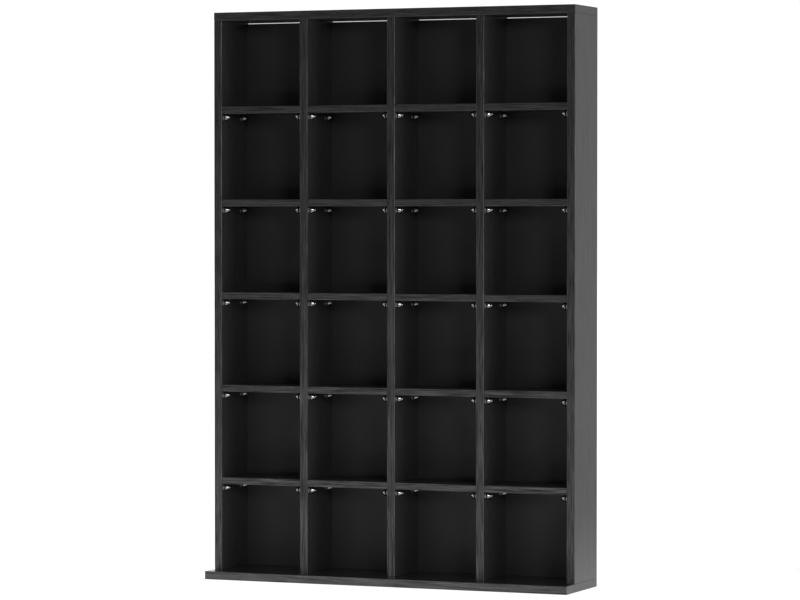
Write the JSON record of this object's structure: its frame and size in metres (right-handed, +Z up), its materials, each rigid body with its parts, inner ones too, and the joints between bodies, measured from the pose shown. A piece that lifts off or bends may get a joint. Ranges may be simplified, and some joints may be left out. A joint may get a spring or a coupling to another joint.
{
  "type": "media storage tower",
  "caption": "Free-standing media tower of black wood-grain board: open compartments in columns, on a base that steps out at the front; its loose shelves rest on chrome supports.",
  "frame": {"origin": "middle of the base board's underside", "axes": "+X to the right, -Y to the front, +Z up"},
  "size_m": [0.895, 0.2, 1.318],
  "materials": {
    "board_laminate": "satin black wood-grain laminate",
    "shelf_laminate": "satin black wood-grain laminate",
    "back_sheet": "dull black painted fibreboard",
    "support_chrome": "polished",
    "dowel_wood": "bare beech",
    "screw_steel": "zinc plated"
  },
  "bodies": {
    "carcass": {"base_board": "board_laminate", "top_board": "board_laminate", "left_side": "board_laminate", "right_side": "board_laminate", "divider_1": "board_laminate", "divider_2": "board_laminate", "divider_3": "board_laminate", "back_column_1": "back_sheet", "back_column_2": "back_sheet", "back_column_3": "back_sheet", "back_column_4": "back_sheet", "dowel_left_side_front": "dowel_wood", "dowel_left_side_rear": "dowel_wood", "dowel_right_side_front": "dowel_wood", "dowel_right_side_rear": "dowel_wood", "dowel_divider_1_front": "dowel_wood", "dowel_divider_1_rear": "dowel_wood", "dowel_divider_2_front": "dowel_wood", "dowel_divider_2_rear": "dowel_wood", "dowel_divider_3_front": "dowel_wood", "dowel_divider_3_rear": "dowel_wood", "screw_left_side_front": "screw_steel", "screw_left_side_rear": "screw_steel", "screw_right_side_front": "screw_steel", "screw_right_side_rear": "screw_steel", "screw_divider_1_front": "screw_steel", "screw_divider_1_rear": "screw_steel", "screw_divider_2_front": "screw_steel", "screw_divider_2_rear": "screw_steel", "screw_divider_3_front": "screw_steel", "screw_divider_3_rear": "screw_steel"},
    "shelf_1_1": {"shelf_column_1_level_1": "shelf_laminate"},
    "shelf_1_2": {"shelf_column_1_level_2": "shelf_laminate"},
    "shelf_1_3": {"shelf_column_1_level_3": "shelf_laminate"},
    "shelf_1_4": {"shelf_column_1_level_4": "shelf_laminate"},
    "shelf_1_5": {"shelf_column_1_level_5": "shelf_laminate"},
    "shelf_2_1": {"shelf_column_2_level_1": "shelf_laminate"},
    "shelf_2_2": {"shelf_column_2_level_2": "shelf_laminate"},
    "shelf_2_3": {"shelf_column_2_level_3": "shelf_laminate"},
    "shelf_2_4": {"shelf_column_2_level_4": "shelf_laminate"},
    "shelf_2_5": {"shelf_column_2_level_5": "shelf_laminate"},
    "shelf_3_1": {"shelf_column_3_level_1": "shelf_laminate"},
    "shelf_3_2": {"shelf_column_3_level_2": "shelf_laminate"},
    "shelf_3_3": {"shelf_column_3_level_3": "shelf_laminate"},
    "shelf_3_4": {"shelf_column_3_level_4": "shelf_laminate"},
    "shelf_3_5": {"shelf_column_3_level_5": "shelf_laminate"},
    "shelf_4_1": {"shelf_column_4_level_1": "shelf_laminate"},
    "shelf_4_2": {"shelf_column_4_level_2": "shelf_laminate"},
    "shelf_4_3": {"shelf_column_4_level_3": "shelf_laminate"},
    "shelf_4_4": {"shelf_column_4_level_4": "shelf_laminate"},
    "shelf_4_5": {"shelf_column_4_level_5": "shelf_laminate"}
  },
  "joints": [
    {"name": "shelf_1_1_pull", "type": "slide", "parent": "carcass", "child": "shelf_1_1", "axis": [0, -1, 0], "range_m": [0, 0.138]},
    {"name": "shelf_1_2_pull", "type": "slide", "parent": "carcass", "child": "shelf_1_2", "axis": [0, -1, 0], "range_m": [0, 0.138]},
    {"name": "shelf_1_3_pull", "type": "slide", "parent": "carcass", "child": "shelf_1_3", "axis": [0, -1, 0], "range_m": [0, 0.138]},
    {"name": "shelf_1_4_pull", "type": "slide", "parent": "carcass", "child": "shelf_1_4", "axis": [0, -1, 0], "range_m": [0, 0.138]},
    {"name": "shelf_1_5_pull", "type": "slide", "parent": "carcass", "child": "shelf_1_5", "axis": [0, -1, 0], "range_m": [0, 0.138]},
    {"name": "shelf_2_1_pull", "type": "slide", "parent": "carcass", "child": "shelf_2_1", "axis": [0, -1, 0], "range_m": [0, 0.138]},
    {"name": "shelf_2_2_pull", "type": "slide", "parent": "carcass", "child": "shelf_2_2", "axis": [0, -1, 0], "range_m": [0, 0.138]},
    {"name": "shelf_2_3_pull", "type": "slide", "parent": "carcass", "child": "shelf_2_3", "axis": [0, -1, 0], "range_m": [0, 0.138]},
    {"name": "shelf_2_4_pull", "type": "slide", "parent": "carcass", "child": "shelf_2_4", "axis": [0, -1, 0], "range_m": [0, 0.138]},
    {"name": "shelf_2_5_pull", "type": "slide", "parent": "carcass", "child": "shelf_2_5", "axis": [0, -1, 0], "range_m": [0, 0.138]},
    {"name": "shelf_3_1_pull", "type": "slide", "parent": "carcass", "child": "shelf_3_1", "axis": [0, -1, 0], "range_m": [0, 0.138]},
    {"name": "shelf_3_2_pull", "type": "slide", "parent": "carcass", "child": "shelf_3_2", "axis": [0, -1, 0], "range_m": [0, 0.138]},
    {"name": "shelf_3_3_pull", "type": "slide", "parent": "carcass", "child": "shelf_3_3", "axis": [0, -1, 0], "range_m": [0, 0.138]},
    {"name": "shelf_3_4_pull", "type": "slide", "parent": "carcass", "child": "shelf_3_4", "axis": [0, -1, 0], "range_m": [0, 0.138]},
    {"name": "shelf_3_5_pull", "type": "slide", "parent": "carcass", "child": "shelf_3_5", "axis": [0, -1, 0], "range_m": [0, 0.138]},
    {"name": "shelf_4_1_pull", "type": "slide", "parent": "carcass", "child": "shelf_4_1", "axis": [0, -1, 0], "range_m": [0, 0.138]},
    {"name": "shelf_4_2_pull", "type": "slide", "parent": "carcass", "child": "shelf_4_2", "axis": [0, -1, 0], "range_m": [0, 0.138]},
    {"name": "shelf_4_3_pull", "type": "slide", "parent": "carcass", "child": "shelf_4_3", "axis": [0, -1, 0], "range_m": [0, 0.138]},
    {"name": "shelf_4_4_pull", "type": "slide", "parent": "carcass", "child": "shelf_4_4", "axis": [0, -1, 0], "range_m": [0, 0.138]},
    {"name": "shelf_4_5_pull", "type": "slide", "parent": "carcass", "child": "shelf_4_5", "axis": [0, -1, 0], "range_m": [0, 0.138]}
  ]
}
